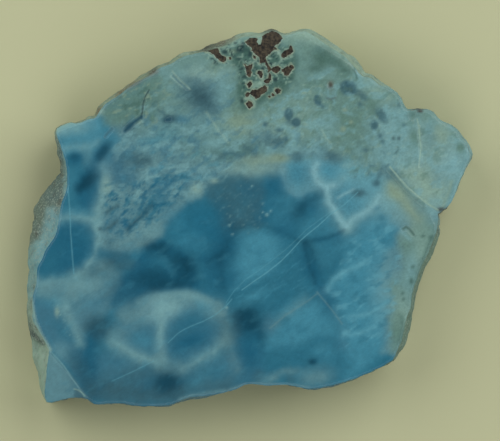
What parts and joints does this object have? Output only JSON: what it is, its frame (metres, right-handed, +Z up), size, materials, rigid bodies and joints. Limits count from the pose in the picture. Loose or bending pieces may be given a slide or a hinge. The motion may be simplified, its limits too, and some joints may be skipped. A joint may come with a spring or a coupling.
{
  "type": "polished larimar slab",
  "caption": "Slab of blue larimar with a flat polished face, a sawn back and a rough natural edge all round, lying face up.",
  "frame": {"origin": "under the middle of the slab, on the surface that it lies on", "axes": "+Z up out of the polished face, +X along the longest extent, +Y towards the crown with the dark inclusions"},
  "size_m": [0.076, 0.0646, 0.013],
  "materials": {
    "larimar": "polished face with white and deep blue cells, rough sides, sawn back"
  },
  "bodies": {
    "root": {"larimar_slab": "larimar"}
  },
  "joints": []
}
